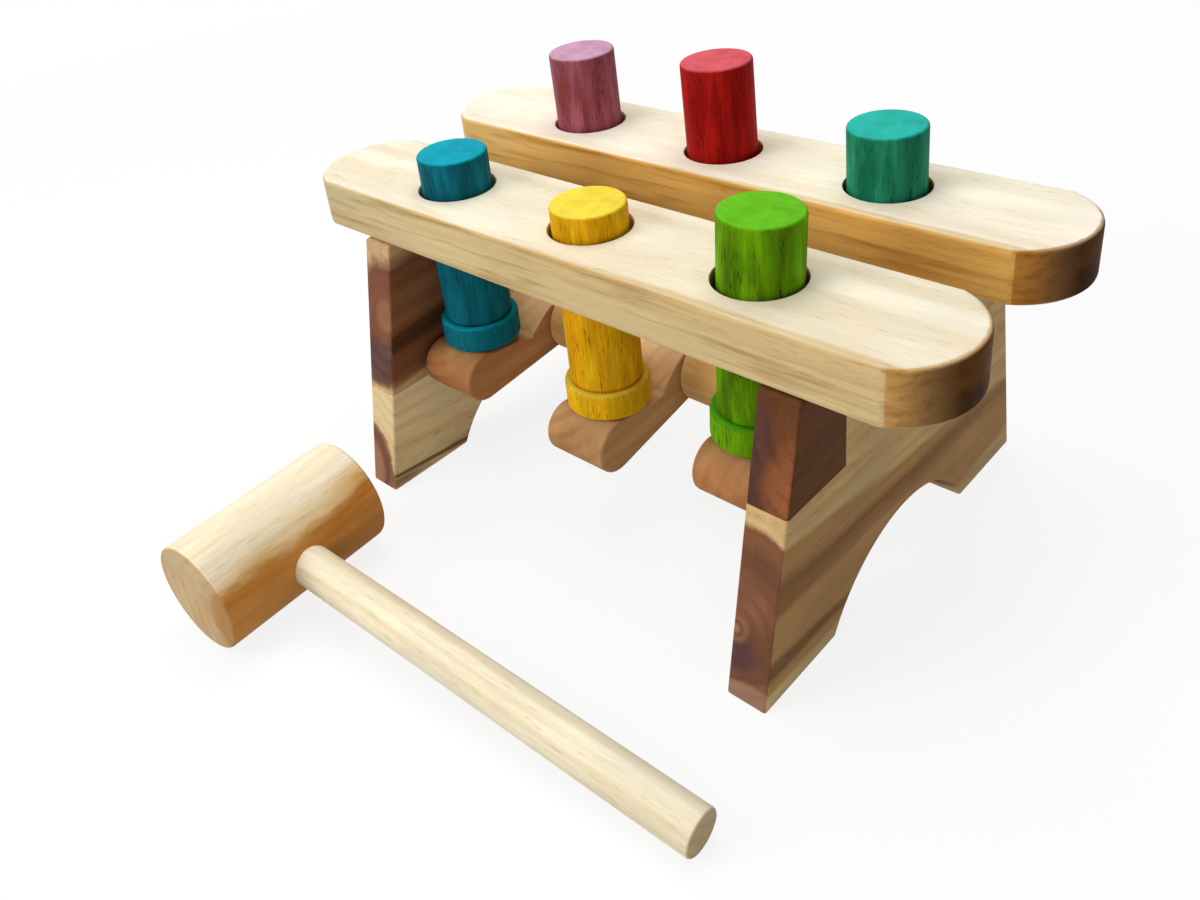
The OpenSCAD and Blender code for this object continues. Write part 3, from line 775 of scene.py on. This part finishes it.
# The place that the lamps face, and where each stands, its side in metres and its power in watts.
AIM = Vector((0, 0.03, 0.06))
LAMPS = {
    "softbox_overhead": (Vector((-0.15, 0.15, 1.0)), 0.9, 9.0),
    "softbox_front_left": (Vector((-0.6, -0.95, 0.65)), 0.7, 9.5),
    "card_right": (Vector((0.75, -0.75, 0.3)), 0.5, 2.2),
}


# One for what the camera sees, straight or mirrored, and nothing for the light that falls on the toy.
def seen_directly(tree):
    camera_ray = add(tree, "LightPath", {}, out="Is Camera Ray")
    rays = camera_ray.node.outputs
    mirrored = add(tree, "Math", {0: camera_ray, 1: rays["Is Glossy Ray"]}, operation="MAXIMUM")
    return add(tree, "Math", {0: mirrored, 1: rays["Is Transmission Ray"]}, operation="MAXIMUM")


bm = bmesh.new()
bmesh.ops.create_grid(bm, x_segments=1, y_segments=1, size=FLOOR_HALF)
floor_mesh = bpy.data.meshes.new("studio_floor")
bm.to_mesh(floor_mesh)
bm.free()
floor = bpy.data.objects.new("studio_floor", floor_mesh)
bpy.context.scene.collection.objects.link(floor)
paper = bpy.data.materials.new("white_paper_floor")
paper.use_nodes = True
tree = paper.node_tree
bounce = tree.nodes["Principled BSDF"]
bounce.inputs["Base Color"].default_value = linear("#BEBEBE")
bounce.inputs["Roughness"].default_value = 0.9
sheet = add(tree, "BsdfDiffuse", {"Color": linear("#FAFAFA")})
glow = add(tree, "Emission", {"Color": linear("#FFFFFF"), "Strength": 1.0})
place = add(tree, "TexCoord", {}, out="Object")
away = add(tree, "VectorMath", {0: place}, out="Value", operation="LENGTH")
whiteness = add(tree, "MapRange", {"Value": away, "From Min": SHADOW_REACH, "From Max": WHITE_FROM,
                                   "To Min": FLOOR_GLOW, "To Max": 1.0})
shown = add(tree, "MixShader", {0: whiteness, 1: sheet, 2: glow})
surface = add(tree, "MixShader", {0: seen_directly(tree), 1: bounce.outputs[0], 2: shown})
tree.links.new(surface, tree.nodes["Material Output"].inputs["Surface"])
floor_mesh.materials.append(paper)

world = bpy.data.worlds.new("white_studio")
bpy.context.scene.world = world
world.use_nodes = True
tree = world.node_tree
dim = tree.nodes["Background"]
dim.inputs["Color"].default_value = linear("#FFFFFF")
dim.inputs["Strength"].default_value = ROOM_LIGHT
backdrop = add(tree, "Background", {"Color": linear("#FFFFFF"), "Strength": 1.0})
room = add(tree, "MixShader", {0: seen_directly(tree), 1: dim.outputs[0], 2: backdrop})
tree.links.new(room, tree.nodes["World Output"].inputs["Surface"])

for name, (where, size, power) in LAMPS.items():
    lamp = bpy.data.lights.new(name, "AREA")
    lamp.size = size
    lamp.energy = power
    softbox = bpy.data.objects.new(name, lamp)
    softbox.location = where
    softbox.rotation_euler = (AIM - where).to_track_quat("-Z", "Y").to_euler()
    bpy.context.scene.collection.objects.link(softbox)

lens = bpy.data.cameras.new("photo_camera")
lens.sensor_width = 36.0
lens.lens = 32.775
lens.shift_x = 0.03452
lens.shift_y = -0.12663
lens.clip_start = 0.01
camera = bpy.data.objects.new("photo_camera", lens)
camera.location = CAMERA_PLACE
camera.rotation_euler = CAMERA_TURN
bpy.context.scene.collection.objects.link(camera)
bpy.context.scene.camera = camera
bpy.context.scene.view_settings.view_transform = "Standard"
